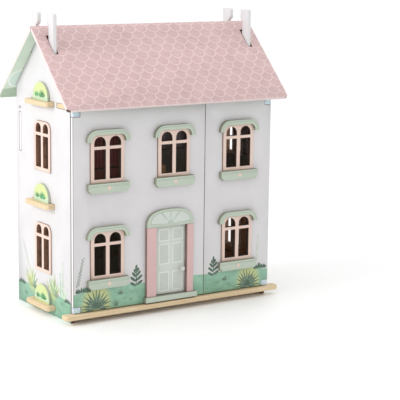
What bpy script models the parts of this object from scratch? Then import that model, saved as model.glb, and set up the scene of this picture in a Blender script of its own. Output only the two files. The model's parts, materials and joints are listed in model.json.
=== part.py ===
"""Wooden two-storey dollhouse with two opening front panels and a lift-off roof.

The frame: X runs to the right across the front, Y runs back, Z is up. The origin
is on the table, midway between the side walls and under the ridge.

Everything is cut from flat boards, as the real object is. The side walls carry the
floors on through tenons, each locked outside the wall by a half-round key.
"""

import math

import bmesh
import bpy
from mathutils import Vector
from mathutils.geometry import area_tri, delaunay_2d_cdt

MM = 0.001
GAP = 0.3 * MM                  # left between two pieces that touch

# Boards
WALL = 10 * MM                  # side walls, back wall and front panels
FLOOR = 12 * MM
ROOF = 8 * MM

# Walls
HALF_WIDTH = 300 * MM           # outer face of a side wall
HALF_DEPTH = 145 * MM           # edge of a side wall, from under the ridge
INSIDE = HALF_WIDTH - WALL      # inner face of a side wall
BACK_WALL = 121 * MM            # inner face of the back wall
BACK_TAB = (404 * MM, 505 * MM)
BACK_SCREW_Z = 518 * MM
SCREW_HEAD = 3.1 * MM
SCREW_SHANK = 1.5 * MM
SCREW_LENGTH = 26 * MM

# Floors, by the height of the underside
BASE_Z = 14 * MM
MIDDLE_Z = 277 * MM
ATTIC_Z = 536.5 * MM
FLOOR_BACK = BACK_WALL + WALL + 3.5 * MM
EAR = 26.5 * MM                 # base board beyond the side wall, at the front
TENON_REACH = 22 * MM
TENON_HALF = 61.5 * MM
TENON_CORNER = 5 * MM
FRONT_TENON = (-126 * MM, -76 * MM)

# Lock keys
KEY_HALF = 40 * MM
KEY_HEIGHT = 46 * MM            # above the tenon
KEY_THICK = 6.5 * MM
KEY_SLOT_HALF = 43 * MM

# Roof
PITCH = math.radians(45)
RIDGE_Z = 734 * MM
EAVE = 191 * MM                 # half of the distance between the eaves
ROOF_HALF = 332 * MM
ROOF_CORNER = 9 * MM
RIDGE_CORNER = 4 * MM
ROOF_SLOT_PLAY = 1.5 * MM        # round a prong, in the roof's slots

# Chimney prongs, part of each side wall
PRONG = (24 * MM, 59 * MM)
PRONG_TOP = 766 * MM
PRONG_CORNER = 4 * MM
HOOK = 10 * MM                  # rounded hook on the inner side of a prong

# Front panels
PANEL_GAP = 2 * MM              # swinging room in front of the side walls
PANEL_BACK = -HALF_DEPTH - PANEL_GAP
PANEL_FRONT = PANEL_BACK - WALL
PANEL_BOTTOM = BASE_Z + FLOOR + 2 * MM
PANEL_TOP = ATTIC_Z - 1 * MM
PANEL_SPLIT = 90 * MM
PANEL_SPLIT_GAP = 1 * MM
FRONT_OVERHANG = 14 * MM        # base board in front of the panels

# Panel pivots
PIVOT_X = HALF_WIDTH - 4 * MM
PIVOT_Y = PANEL_FRONT + 4 * MM
BLOCK_WIDTH = 20 * MM
BLOCK_HEIGHT = 14 * MM
PINTLE_RADIUS = 2.2 * MM
PINTLE_LENGTH = 7 * MM
PINTLE_HOLE = 2.6 * MM

# Windows
FRAME_PROUD = 3 * MM
FRAME_DEPTH = WALL + FRAME_PROUD
FRONT_WINDOW = {"width": 97 * MM, "height": 121 * MM, "shoulder": 15 * MM}
SIDE_WINDOW = {"width": 87 * MM, "height": 127 * MM, "shoulder": 21 * MM}
FRAME_SIDE = 10 * MM
FRAME_BOTTOM = 9 * MM
FRAME_TOP = 5 * MM
MULLION = 11 * MM
TRANSOM = 8 * MM
ARCH_PANE = 24 * MM
WINDOW_LOW_Z = 109 * MM
WINDOW_HIGH_Z = 353 * MM
SIDE_LOW_Z = 104 * MM
SIDE_HIGH_Z = 367 * MM
COLUMN_LEFT = -203 * MM         # centre lines of the front windows
COLUMN_MIDDLE = -7 * MM
COLUMN_RIGHT = 194 * MM

HOOD_BAND = 12.5 * MM
HOOD_DROP = 30 * MM
HOOD_PROUD = 11 * MM
SILL_WIDTH = 118 * MM
SILL_HEIGHT = 24 * MM
SILL_PROUD = 12 * MM
SILL_CORNER = 8 * MM

# Front door
DOORWAY = (-63 * MM, 32 * MM)
DOORWAY_BOTTOM = 44 * MM
DOORWAY_TOP = 225 * MM
DOOR_THICK = 8 * MM
DOOR_SIDE_GAP = 2 * MM
DOOR_END_GAP = 1.5 * MM
DOOR_FACE = PANEL_FRONT + 0.5 * MM
DOOR_PIVOT_IN = 4.5 * MM
DOOR_PIN = 1.25 * MM
DOOR_PIN_HOLE = 1.6 * MM
DOOR_PIN_REACH = 8 * MM
KNOB_X = 17 * MM
KNOB_Z = 108 * MM
KNOB = 6.5 * MM

TRIM_PROUD = 9.5 * MM
PILASTER_LEFT = (-91 * MM, -62.5 * MM)
PILASTER_RIGHT = (31.5 * MM, 51 * MM)
FAN_HEIGHT = 45 * MM
FAN_FOOT = 4 * MM               # upright stretch below the fanlight's arch
FAN_SQUARENESS = 2.6            # 2 would be an ellipse
STEP_X = (-96 * MM, 61 * MM)
STEP_Z = (30 * MM, 43.7 * MM)
STEP_PROUD = 13.5 * MM

# Stairs
STEPS = 10
STAIR_HALF = 22 * MM
STAIR_FRONT = -115 * MM
STAIR_RUN = 200 * MM
STAIR_WAIST = 17 * MM
STAIRWELL_FRONT = -25 * MM

ARC_STEPS = 6

COLOURS = {
    "mdf_white": ((0.86, 0.86, 0.86), 0.45),
    "plywood": ((0.80, 0.62, 0.42), 0.60),
    "roof_pink": ((0.72, 0.48, 0.50), 0.50),
    "peach": ((0.78, 0.60, 0.52), 0.50),
    "sage": ((0.48, 0.58, 0.46), 0.50),
    "door_green": ((0.62, 0.68, 0.62), 0.45),
    "pilaster_pink": ((0.72, 0.44, 0.46), 0.50),
    "key_green": ((0.50, 0.66, 0.36), 0.50),
    "pivot_plastic": ((0.70, 0.80, 0.86), 0.30),
    "steel": ((0.60, 0.60, 0.62), 0.30),
}


def clear_scene():
    """Remove every object from the open scene."""
    for item in list(bpy.data.objects):
        bpy.data.objects.remove(item, do_unlink=True)


def finish_material(name, colour, roughness, metallic):
    """Return the Principled material of one sub-part."""
    material = bpy.data.materials.new(name)
    material.use_nodes = True
    shader = material.node_tree.nodes["Principled BSDF"]
    shader.inputs["Base Color"].default_value = (*colour, 1.0)
    shader.inputs["Roughness"].default_value = roughness
    shader.inputs["Metallic"].default_value = metallic
    return material


def add_object(name, mesh, finish, parent=None):
    """Put a mesh in the scene under a name, with its own material."""
    item = bpy.data.objects.new(name, mesh)
    bpy.context.scene.collection.objects.link(item)
    colour, roughness = COLOURS[finish]
    metallic = 1.0 if finish == "steel" else 0.0
    if not mesh.materials:
        mesh.materials.append(None)
    item.material_slots[0].link = "OBJECT"
    item.material_slots[0].material = finish_material(name, colour, roughness, metallic)
    item.parent = parent
    return item


def joint_empty(name, place):
    """Return an empty on a joint's axis, to carry the pieces that move."""
    empty = bpy.data.objects.new(name, None)
    bpy.context.scene.collection.objects.link(empty)
    empty.location = place
    return empty


# Outlines -------------------------------------------------------------------

def arc(centre, radius, start, end, steps=ARC_STEPS, rise=None):
    """Points of a circular or elliptical arc, angles in degrees."""
    rise = radius if rise is None else rise
    points = []
    for step in range(steps + 1):
        angle = math.radians(start + (end - start) * step / steps)
        points.append((centre[0] + radius * math.cos(angle), centre[1] + rise * math.sin(angle)))
    return points


def broad_arch(centre, half, rise, steps=20):
    """Points of a flattened arch, from its right foot to its left one."""
    points = []
    for step in range(steps + 1):
        angle = math.pi * step / steps
        across, up = math.cos(angle), math.sin(angle)
        across = math.copysign(abs(across) ** (2 / FAN_SQUARENESS), across)
        points.append((centre[0] + half * across, centre[1] + rise * abs(up) ** (2 / FAN_SQUARENESS)))
    return points


def box_outline(low, high):
    """Corners of a rectangle."""
    return [(low[0], low[1]), (high[0], low[1]), (high[0], high[1]), (low[0], high[1])]


def circle(centre, radius, steps=12):
    """Points of a full circle."""
    return arc(centre, radius, 0, 360, steps)[:-1]


def shouldered(centre, bottom, size, grow=0.0):
    """Rectangle whose two top corners are rounded, widened all round by an amount."""
    half = size["width"] / 2 + grow
    top = bottom + size["height"] + grow
    bottom -= grow
    shoulder = size["shoulder"]
    right = arc((centre + half - shoulder, top - shoulder), shoulder, 0, 90)
    left = arc((centre - half + shoulder, top - shoulder), shoulder, 90, 180)
    return [(centre - half, bottom), (centre + half, bottom), *right, *left]


def grown(pair, amount):
    """Widen a (low, high) pair by the same amount at both ends."""
    return (pair[0] - amount, pair[1] + amount)


# Solids ---------------------------------------------------------------------

def inside(loops, x, y):
    """Whether a point is in the outline and not in a hole, by the even-odd rule."""
    crossings = 0
    for loop in loops:
        for (x1, y1), (x2, y2) in zip(loop, loop[1:] + loop[:1]):
            if (y1 > y) != (y2 > y) and x < x1 + (x2 - x1) * (y - y1) / (y2 - y1):
                crossings += 1
    return crossings % 2 == 1


def fill_triangles(loops):
    """Triangles that fill an outline and leave its holes open."""
    every_triangle = 0
    points = [Vector(point) for loop in loops for point in loop]
    edges = []
    for loop in loops:
        start = len(edges)
        count = len(loop)
        edges += [(start + index, start + (index + 1) % count) for index in range(count)]
    filled = delaunay_2d_cdt(points, edges, [], every_triangle, 1e-7)
    least_area = 1e-9
    triangles = []
    for triangle in filled[2]:
        corners = [filled[0][index] for index in triangle]
        middle = sum(corners, Vector((0.0, 0.0))) / 3
        if area_tri(*corners) > least_area and inside(loops, middle.x, middle.y):
            triangles.append([filled[3][index][0] for index in triangle])
    return triangles


def flat_mesh(name, plane, outline, span, holes=()):
    """Extrude an outline with holes, drawn in one plane, over a span across it."""
    axes = {"XY": (0, 1, 2), "XZ": (0, 2, 1), "YZ": (1, 2, 0)}[plane]
    loops = [list(outline), *[list(hole) for hole in holes]]
    points = [point for loop in loops for point in loop]
    count = len(points)
    vertices = []
    for across in span:
        for point in points:
            place = [0.0, 0.0, 0.0]
            place[axes[0]], place[axes[1]], place[axes[2]] = point[0], point[1], across
            vertices.append(place)
    triangles = fill_triangles(loops)
    faces = list(triangles)
    faces += [[index + count for index in triangle] for triangle in triangles]
    start = 0
    for loop in loops:
        for index in range(len(loop)):
            after = start + (index + 1) % len(loop)
            here = start + index
            faces.append([here, after, after + count, here + count])
        start += len(loop)
    mesh = bpy.data.meshes.new(name)
    mesh.from_pydata(vertices, [], faces)
    return face_outwards(mesh)


def face_outwards(mesh):
    """Turn every face of a closed mesh outwards."""
    bm = bmesh.new()
    bm.from_mesh(mesh)
    bmesh.ops.recalc_face_normals(bm, faces=bm.faces[:])
    bm.to_mesh(mesh)
    bm.free()
    mesh.update()
    return mesh


def turned_mesh(name, profile, axis, place, steps=12):
    """Turn a profile of (radius, distance) points about an axis; its ends have radius 0."""
    axes = {"X": (1, 2, 0), "Y": (0, 2, 1), "Z": (0, 1, 2)}[axis]
    vertices = []
    rings = []
    for radius, distance in profile:
        ring = []
        for step in range(1 if radius == 0 else steps):
            angle = 2 * math.pi * step / steps
            point = [0.0, 0.0, 0.0]
            point[axes[0]] = place[axes[0]] + radius * math.cos(angle)
            point[axes[1]] = place[axes[1]] + radius * math.sin(angle)
            point[axes[2]] = place[axes[2]] + distance
            ring.append(len(vertices))
            vertices.append(point)
        rings.append(ring)
    faces = []
    for one, two in zip(rings, rings[1:]):
        for step in range(steps):
            after = (step + 1) % steps
            corners = [one[step % len(one)], one[after % len(one)]]
            corners += [two[after % len(two)], two[step % len(two)]]
            faces.append(list(dict.fromkeys(corners)))
    mesh = bpy.data.meshes.new(name)
    mesh.from_pydata(vertices, [], faces)
    for polygon in mesh.polygons:
        polygon.use_smooth = True
    return face_outwards(mesh)


def rod(name, axis, place, radius, span, finish, parent=None):
    """Plain round pin from one distance to another along its axis."""
    profile = [(0, span[0]), (radius, span[0]), (radius, span[1]), (0, span[1])]
    mesh = turned_mesh(name, profile, axis, place)
    mesh.set_sharp_from_angle(angle=math.radians(40))
    return add_object(name, mesh, finish, parent)


def cutter(name, axis, place, radius, span):
    """Round cutter, drawn as a wire and left out of the model."""
    item = rod(name, axis, place, radius, span, "steel")
    item.hide_render = True
    item.display_type = "WIRE"
    return item


def combine(item, other, operation):
    """Cut another object out of an object, or join it on."""
    modifier = item.modifiers.new(operation.title() + " " + other.name, "BOOLEAN")
    modifier.operation = operation
    modifier.solver = "EXACT"
    modifier.object = other


# Walls and floors -----------------------------------------------------------

def gable_height(distance):
    """Top of a side wall at a distance from under the ridge."""
    under_roof = ROOF / math.cos(PITCH) + GAP / math.cos(PITCH)
    return RIDGE_Z - under_roof - abs(distance) * math.tan(PITCH)


def prong_outline():
    """Rear half of a side wall's top, from the rear edge up over the prong to the ridge."""
    inner, outer = PRONG
    hook_z = RIDGE_Z + 12 * MM
    points = [(HALF_DEPTH, gable_height(HALF_DEPTH)), (outer, gable_height(outer))]
    points += arc((outer - PRONG_CORNER, PRONG_TOP - PRONG_CORNER), PRONG_CORNER, 0, 90, 3)
    points += arc((inner + PRONG_CORNER, PRONG_TOP - PRONG_CORNER), PRONG_CORNER, 90, 180, 3)
    points += arc((inner + HOOK, hook_z), HOOK, 180, 270, 4)
    points += [(inner + HOOK, gable_height(inner + HOOK)), (0.0, gable_height(0.0))]
    return points


def side_wall_outline():
    """Outline of a side wall in the YZ plane."""
    rear = prong_outline()
    front = [(-distance, height) for distance, height in reversed(rear[:-1])]
    return [(-HALF_DEPTH, 0.0), (HALF_DEPTH, 0.0), *rear, *front]


def side_wall(side, name):
    """Side wall with its mortises, windows and screw hole."""
    holes = []
    for height in (BASE_Z, MIDDLE_Z, ATTIC_Z):
        low, high = grown((height, height + FLOOR), GAP)
        holes.append(box_outline((-TENON_HALF - GAP, low), (TENON_HALF + GAP, high)))
    low, high = grown((ATTIC_Z, ATTIC_Z + FLOOR), GAP)
    front = grown(FRONT_TENON, GAP)
    holes.append(box_outline((front[0], low), (front[1], high)))
    low, high = grown(BACK_TAB, GAP)
    holes.append(box_outline((BACK_WALL - GAP, low), (BACK_WALL + WALL + GAP, high)))
    for bottom in (SIDE_LOW_Z, SIDE_HIGH_Z):
        holes.append(window_opening(0.0, bottom, SIDE_WINDOW))
    holes.append(circle((BACK_WALL + WALL / 2, BACK_SCREW_Z), SCREW_HEAD + GAP))
    span = sorted((side * INSIDE, side * HALF_WIDTH))
    mesh = flat_mesh(name, "YZ", side_wall_outline(), span, holes)
    return add_object(name, mesh, "mdf_white")


def tenon_outline(side):
    """Outer end of a floor's tenon, as points at rising Y on the right side."""
    reach = HALF_WIDTH + TENON_REACH
    points = [
        (INSIDE - GAP, -TENON_HALF), (reach - TENON_CORNER, -TENON_HALF),
        (reach, -TENON_HALF + TENON_CORNER), (reach, TENON_HALF - TENON_CORNER),
        (reach - TENON_CORNER, TENON_HALF), (INSIDE - GAP, TENON_HALF),
    ]
    return points if side > 0 else [(-x, y) for x, y in reversed(points)]


def key_slots():
    """Slots in both tenons of a floor, just outside the side walls."""
    slots = []
    for side in (-1, 1):
        near = side * (HALF_WIDTH + GAP)
        far = side * (HALF_WIDTH + KEY_THICK + 3 * GAP)
        low, high = sorted((near, far))
        slots.append(box_outline((low, -KEY_SLOT_HALF), (high, KEY_SLOT_HALF)))
    return slots


def pintle_holes():
    """Holes for the pivots of both front panels."""
    return [circle((side * PIVOT_X, PIVOT_Y), PINTLE_HOLE) for side in (-1, 1)]


def base_board():
    """Base board, with ears in front of the side walls."""
    ear = HALF_WIDTH + EAR
    front = PANEL_FRONT - FRONT_OVERHANG
    shoulder = -HALF_DEPTH - GAP
    right = [(ear - TENON_CORNER, front), (ear, front + TENON_CORNER), (ear, shoulder)]
    right += [(INSIDE - GAP, shoulder), *tenon_outline(1), (INSIDE - GAP, FLOOR_BACK)]
    left = [(-x, y) for x, y in reversed(right)]
    span = (BASE_Z, BASE_Z + FLOOR)
    mesh = flat_mesh("base_board", "XY", right + left, span, key_slots() + pintle_holes())
    return add_object("base_board", mesh, "plywood")


def stairwell():
    """Opening in a floor that a flight of stairs comes up through."""
    half = STAIR_HALF + 2 * MM
    return box_outline((-half, STAIRWELL_FRONT), (half, STAIR_FRONT + STAIR_RUN + GAP))


def middle_floor():
    """Floor between the storeys."""
    right = [(INSIDE - GAP, -HALF_DEPTH + 1.5 * MM), *tenon_outline(1)]
    right += [(INSIDE - GAP, BACK_WALL - GAP)]
    left = [(-x, y) for x, y in reversed(right)]
    span = (MIDDLE_Z, MIDDLE_Z + FLOOR)
    mesh = flat_mesh("middle_floor", "XY", right + left, span, key_slots() + [stairwell()])
    return add_object("middle_floor", mesh, "plywood")


def attic_floor():
    """Attic floor, which reaches over the front panels and holds their top pivots."""
    shoulder = -HALF_DEPTH - GAP
    flush = HALF_WIDTH - 0.2 * MM
    right = [(HALF_WIDTH, PANEL_FRONT), (HALF_WIDTH, shoulder), (INSIDE - GAP, shoulder)]
    right += [(INSIDE - GAP, FRONT_TENON[0]), (flush, FRONT_TENON[0])]
    right += [(flush, FRONT_TENON[1]), (INSIDE - GAP, FRONT_TENON[1])]
    right += [*tenon_outline(1), (INSIDE - GAP, FLOOR_BACK)]
    left = [(-x, y) for x, y in reversed(right)]
    span = (ATTIC_Z, ATTIC_Z + FLOOR)
    holes = key_slots() + pintle_holes() + [stairwell()]
    mesh = flat_mesh("attic_floor", "XY", right + left, span, holes)
    return add_object("attic_floor", mesh, "plywood")


def back_wall():
    """Back wall between the base board and the attic floor, with a tab at each side."""
    bottom = BASE_Z + FLOOR + GAP
    top = ATTIC_Z - GAP
    tab = HALF_WIDTH - 0.2 * MM
    right = [(INSIDE - GAP, bottom), (INSIDE - GAP, BACK_TAB[0]), (tab, BACK_TAB[0])]
    right += [(tab, BACK_TAB[1]), (INSIDE - GAP, BACK_TAB[1]), (INSIDE - GAP, top)]
    left = [(-x, z) for x, z in reversed(right)]
    mesh = flat_mesh("back_wall", "XZ", right + left, (BACK_WALL, BACK_WALL + WALL))
    wall = add_object("back_wall", mesh, "mdf_white")
    for side, name in ((-1, "left"), (1, "right")):
        centre = (side * INSIDE, BACK_WALL + WALL / 2, BACK_SCREW_Z)
        hole = cutter(name + "_screw_hole", "X", centre, SCREW_SHANK + GAP, (-20 * MM, 20 * MM))
        combine(wall, hole, "DIFFERENCE")
    return wall


def back_screw(side, name):
    """Flat-headed screw through a side wall into the edge of the back wall."""
    head = 3 * MM
    profile = [(0, 0), (SCREW_HEAD, 0), (SCREW_HEAD, head / 3), (SCREW_SHANK, head)]
    profile += [(SCREW_SHANK, SCREW_LENGTH - 3 * MM), (0, SCREW_LENGTH)]
    profile = [(radius, -side * distance) for radius, distance in profile]
    place = (side * (HALF_WIDTH - 0.2 * MM), BACK_WALL + WALL / 2, BACK_SCREW_Z)
    mesh = turned_mesh(name, profile, "X", place)
    mesh.set_sharp_from_angle(angle=math.radians(40))
    return add_object(name, mesh, "steel")


def staircase(name, floor_top, upper_top):
    """Flight of stairs that climbs from the front to the back."""
    run = STAIR_RUN / STEPS
    low = floor_top + GAP
    rise = (upper_top - low) / STEPS
    points = [(STAIR_FRONT, low)]
    for step in range(STEPS):
        points.append((STAIR_FRONT + step * run, low + (step + 1) * rise))
        points.append((STAIR_FRONT + (step + 1) * run, low + (step + 1) * rise))
    slope = rise / run
    drop = STAIR_WAIST * math.hypot(1.0, slope)
    rear = STAIR_FRONT + STAIR_RUN
    points.append((rear, upper_top - drop))
    points.append((STAIR_FRONT + drop / slope, low))
    mesh = flat_mesh(name, "YZ", points, (-STAIR_HALF, STAIR_HALF))
    return add_object(name, mesh, "plywood")


def lock_key(side, name, floor_z):
    """Half-round key that stands in the slot of a floor's tenon."""
    top = floor_z + FLOOR
    shoulder = KEY_HEIGHT - KEY_HALF
    outline = [(-KEY_HALF, floor_z), (KEY_HALF, floor_z)]
    outline += arc((0.0, top + shoulder), KEY_HALF, 0, 180, 16)
    near = side * (HALF_WIDTH + 2 * GAP)
    far = side * (HALF_WIDTH + 2 * GAP + KEY_THICK)
    mesh = flat_mesh(name, "YZ", outline, sorted((near, far)))
    return add_object(name, mesh, "key_green")


# Roof -----------------------------------------------------------------------

def roof_mesh():
    """Roof board drawn flat: x along the ridge, y up the slope to the ridge at 0."""
    length = EAVE / math.cos(PITCH)
    corner = ROOF_HALF - ROOF_CORNER
    ridge = ROOF_HALF - RIDGE_CORNER
    outline = arc((-corner, -length + ROOF_CORNER), ROOF_CORNER, 180, 270, 5)
    outline += arc((corner, -length + ROOF_CORNER), ROOF_CORNER, 270, 360, 5)
    outline += arc((ridge, -RIDGE_CORNER), RIDGE_CORNER, 0, 90, 3)
    outline += arc((-ridge, -RIDGE_CORNER), RIDGE_CORNER, 90, 180, 3)
    play = ROOF_SLOT_PLAY
    upper = -(PRONG[0] - play) / math.cos(PITCH)
    lower = -(PRONG[1] + play) / math.cos(PITCH) - ROOF * math.tan(PITCH)
    slots = []
    for side in (-1, 1):
        low, high = sorted((side * (INSIDE - play), side * (HALF_WIDTH + play)))
        slots.append(box_outline((low, lower), (high, upper)))
    mesh = flat_mesh("roof_board", "XY", outline, (-ROOF, 0.0), slots)
    mitre = -ROOF * math.tan(PITCH)
    for vertex in mesh.vertices:
        if vertex.co.z < -ROOF / 2:
            vertex.co.y = min(vertex.co.y, mitre)
    return mesh


def roof_panel(name, mesh, turn):
    """Roof panel that lifts straight off the gables; turn is 0 in front, 180 behind."""
    back = -1 if turn == 0 else 1
    panel = add_object(name, mesh, "roof_pink")
    panel.location = (0.0, back * GAP, RIDGE_Z)
    panel.rotation_euler = (PITCH, 0.0, math.radians(turn))
    return panel


# Windows --------------------------------------------------------------------

def window_opening(centre, bottom, size):
    """Opening in a board that a window frame fits in."""
    return shouldered(centre, bottom, size, GAP)


def window_panes(centre, bottom, size):
    """Two tall panes under two round-topped ones."""
    pane = (size["width"] - 2 * FRAME_SIDE - MULLION) / 2
    tall = size["height"] - FRAME_BOTTOM - TRANSOM - ARCH_PANE - FRAME_TOP
    panes = []
    for side in (-1, 1):
        middle = centre + side * (MULLION + pane) / 2
        left, right = middle - pane / 2, middle + pane / 2
        low = bottom + FRAME_BOTTOM
        panes.append(box_outline((left, low), (right, low + tall)))
        low += tall + TRANSOM
        spring = low + ARCH_PANE - pane / 2
        panes.append([(left, low), (right, low), *arc((middle, spring), pane / 2, 0, 180, 8)])
    return panes


def front_frame(name, centre, bottom, parent):
    """Frame of a window in a front panel."""
    outline = shouldered(centre, bottom, FRONT_WINDOW)
    span = (PANEL_FRONT - FRAME_PROUD, PANEL_BACK)
    mesh = flat_mesh(name, "XZ", outline, span, window_panes(centre, bottom, FRONT_WINDOW))
    return add_object(name, mesh, "peach", parent)


def side_frame(side, name, bottom):
    """Frame of a window in a side wall."""
    outline = shouldered(0.0, bottom, SIDE_WINDOW)
    span = sorted((side * INSIDE, side * (INSIDE + FRAME_DEPTH)))
    mesh = flat_mesh(name, "YZ", outline, span, window_panes(0.0, bottom, SIDE_WINDOW))
    return add_object(name, mesh, "peach")


def window_hood(name, centre, bottom, parent):
    """Moulded hood that follows the top of a front window frame."""
    inner = FRONT_WINDOW["width"] / 2 + GAP
    outer = inner + HOOD_BAND
    under = bottom + FRONT_WINDOW["height"] + GAP
    top = under + HOOD_BAND
    shoulder = FRONT_WINDOW["shoulder"]
    radius = shoulder + HOOD_BAND
    ends = top - HOOD_DROP
    outline = [(centre + inner, ends), (centre + outer, ends)]
    outline += arc((centre + outer - radius, top - radius), radius, 0, 90)
    outline += arc((centre - outer + radius, top - radius), radius, 90, 180)
    outline += [(centre - outer, ends), (centre - inner, ends)]
    outline += arc((centre - inner + shoulder, under - shoulder), shoulder, 180, 90)
    outline += arc((centre + inner - shoulder, under - shoulder), shoulder, 90, 0)
    face = PANEL_FRONT - GAP
    mesh = flat_mesh(name, "XZ", outline, (face - HOOD_PROUD, face))
    return add_object(name, mesh, "sage", parent)


def window_sill(name, centre, bottom, parent):
    """Planter-shaped sill under a front window."""
    half = SILL_WIDTH / 2
    top = bottom - GAP
    low = top - SILL_HEIGHT
    outline = [(centre - half, top), (centre - half, low + SILL_CORNER)]
    outline += [(centre - half + SILL_CORNER, low), (centre + half - SILL_CORNER, low)]
    outline += [(centre + half, low + SILL_CORNER), (centre + half, top)]
    face = PANEL_FRONT - GAP
    mesh = flat_mesh(name, "XZ", outline, (face - SILL_PROUD, face))
    return add_object(name, mesh, "sage", parent)


# Front panels ---------------------------------------------------------------

def front_panel(side, name, windows, parent, openings=()):
    """Front panel with its window openings and a notch at each pivot block."""
    split = PANEL_SPLIT + side * PANEL_SPLIT_GAP / 2
    notch_x = side * (HALF_WIDTH - BLOCK_WIDTH - GAP)
    edge = side * HALF_WIDTH
    low, high = PANEL_BOTTOM, PANEL_TOP
    notch = BLOCK_HEIGHT + GAP
    outline = [(split, low), (notch_x, low), (notch_x, low + notch), (edge, low + notch)]
    outline += [(edge, high - notch), (notch_x, high - notch), (notch_x, high), (split, high)]
    holes = [window_opening(centre, bottom, FRONT_WINDOW) for centre, bottom in windows]
    mesh = flat_mesh(name, "XZ", outline, (PANEL_FRONT, PANEL_BACK), [*holes, *openings])
    return add_object(name, mesh, "mdf_white", parent)


def pivot_block(side, name, upper, parent):
    """Plastic corner block whose pintle turns in the base board or the attic floor."""
    low_x, high_x = sorted((side * (HALF_WIDTH - BLOCK_WIDTH), side * HALF_WIDTH))
    low_z = PANEL_TOP - BLOCK_HEIGHT if upper else PANEL_BOTTOM
    outline = box_outline((low_x, low_z), (high_x, low_z + BLOCK_HEIGHT))
    mesh = flat_mesh(name, "XZ", outline, (PANEL_FRONT, PANEL_BACK))
    block = add_object(name, mesh, "pivot_plastic", parent)
    middle = (side * PIVOT_X, PIVOT_Y, low_z + BLOCK_HEIGHT / 2)
    reach = BLOCK_HEIGHT / 2 + PINTLE_LENGTH
    span = (0.0, reach) if upper else (-reach, 0.0)
    pintle = cutter(name + "_pintle", "Z", middle, PINTLE_RADIUS, span)
    combine(block, pintle, "UNION")
    return block


def window_set(storey, place, centre, bottom, parent):
    """Frame, hood and sill of one front window."""
    label = storey + "_" + place + "_window_"
    front_frame(label + "frame", centre, bottom, parent)
    window_hood(label + "hood", centre, bottom, parent)
    window_sill(label + "sill", centre, bottom, parent)


# Front door -----------------------------------------------------------------

def door_pivot():
    """Point on the door's hinge axis, at the bottom of the door."""
    x = DOORWAY[0] + DOOR_SIDE_GAP + DOOR_PIVOT_IN
    return (x, DOOR_FACE + DOOR_THICK / 2, DOORWAY_BOTTOM + DOOR_END_GAP)


def front_door(parent):
    """Door leaf, pinned at the top and the bottom of its left edge."""
    low = (DOORWAY[0] + DOOR_SIDE_GAP, DOORWAY_BOTTOM + DOOR_END_GAP)
    high = (DOORWAY[1] - DOOR_SIDE_GAP, DOORWAY_TOP - DOOR_END_GAP)
    span = (DOOR_FACE, DOOR_FACE + DOOR_THICK)
    mesh = flat_mesh("front_door", "XZ", box_outline(low, high), span)
    return add_object("front_door", mesh, "door_green", parent)


def door_knob(parent):
    """Turned knob on a short neck."""
    neck = 3 * MM
    centre = 4 * MM + KNOB
    profile = [(0, 0), (neck, 0), (neck, centre - KNOB * 0.85)]
    for step in range(1, 6):
        angle = math.radians(150 - 25 * step)
        profile.append((KNOB * math.sin(angle), centre + KNOB * math.cos(angle)))
    profile.append((0, centre + KNOB))
    profile = [(radius, -distance) for radius, distance in profile]
    place = (KNOB_X, DOOR_FACE - GAP, KNOB_Z)
    mesh = turned_mesh("door_knob", profile, "Y", place, 16)
    return add_object("door_knob", mesh, "door_green", parent)


def door_pins(panel, door, parent):
    """Two pins that the door turns on, and their holes in the door and the panel."""
    x, y, _ = door_pivot()
    for name, height in (("lower_door_pin", DOORWAY_BOTTOM), ("upper_door_pin", DOORWAY_TOP)):
        reach = DOOR_PIN_REACH
        rod(name, "Z", (x, y, height), DOOR_PIN, (-reach, reach), "steel", parent)
        hole = cutter(name + "_hole", "Z", (x, y, height), DOOR_PIN_HOLE,
                      (-reach - MM, reach + MM))
        combine(panel, hole, "DIFFERENCE")
        combine(door, hole, "DIFFERENCE")


def doorway_trim(parent):
    """Fanlight, pilasters and step round the doorway."""
    face = PANEL_FRONT - GAP
    span = (face - TRIM_PROUD, face)
    for name, x_range in (("left_pilaster", PILASTER_LEFT), ("right_pilaster", PILASTER_RIGHT)):
        outline = box_outline((x_range[0], STEP_Z[1] + GAP), (x_range[1], DOORWAY_TOP))
        add_object(name, flat_mesh(name, "XZ", outline, span), "pilaster_pink", parent)
    half = (PILASTER_RIGHT[1] - PILASTER_LEFT[0]) / 2
    centre = (PILASTER_RIGHT[1] + PILASTER_LEFT[0]) / 2
    low = DOORWAY_TOP + GAP
    outline = broad_arch((centre, low + FAN_FOOT), half, FAN_HEIGHT - FAN_FOOT)
    outline += [(centre - half, low), (centre + half, low)]
    add_object("fanlight", flat_mesh("fanlight", "XZ", outline, span), "sage", parent)
    outline = box_outline((STEP_X[0], STEP_Z[0]), (STEP_X[1], STEP_Z[1]))
    mesh = flat_mesh("door_step", "XZ", outline, (face - STEP_PROUD, face))
    add_object("door_step", mesh, "sage", parent)


# Assembly -------------------------------------------------------------------

def place_world(item, parent):
    """Parent an object whose mesh is already in world places."""
    item.parent = parent
    item.matrix_parent_inverse = parent.matrix_world.inverted()


def build_body():
    """Everything that stands still."""
    base_board()
    middle_floor()
    attic_floor()
    back_wall()
    for side, name in ((-1, "left"), (1, "right")):
        side_wall(side, name + "_side_wall")
        side_frame(side, name + "_lower_window_frame", SIDE_LOW_Z)
        side_frame(side, name + "_upper_window_frame", SIDE_HIGH_Z)
        back_screw(side, name + "_back_screw")
        for level, height in (("base", BASE_Z), ("middle", MIDDLE_Z), ("attic", ATTIC_Z)):
            lock_key(side, name + "_" + level + "_key", height)
    staircase("lower_staircase", BASE_Z + FLOOR, MIDDLE_Z + FLOOR)
    staircase("upper_staircase", MIDDLE_Z + FLOOR, ATTIC_Z + FLOOR)


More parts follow.
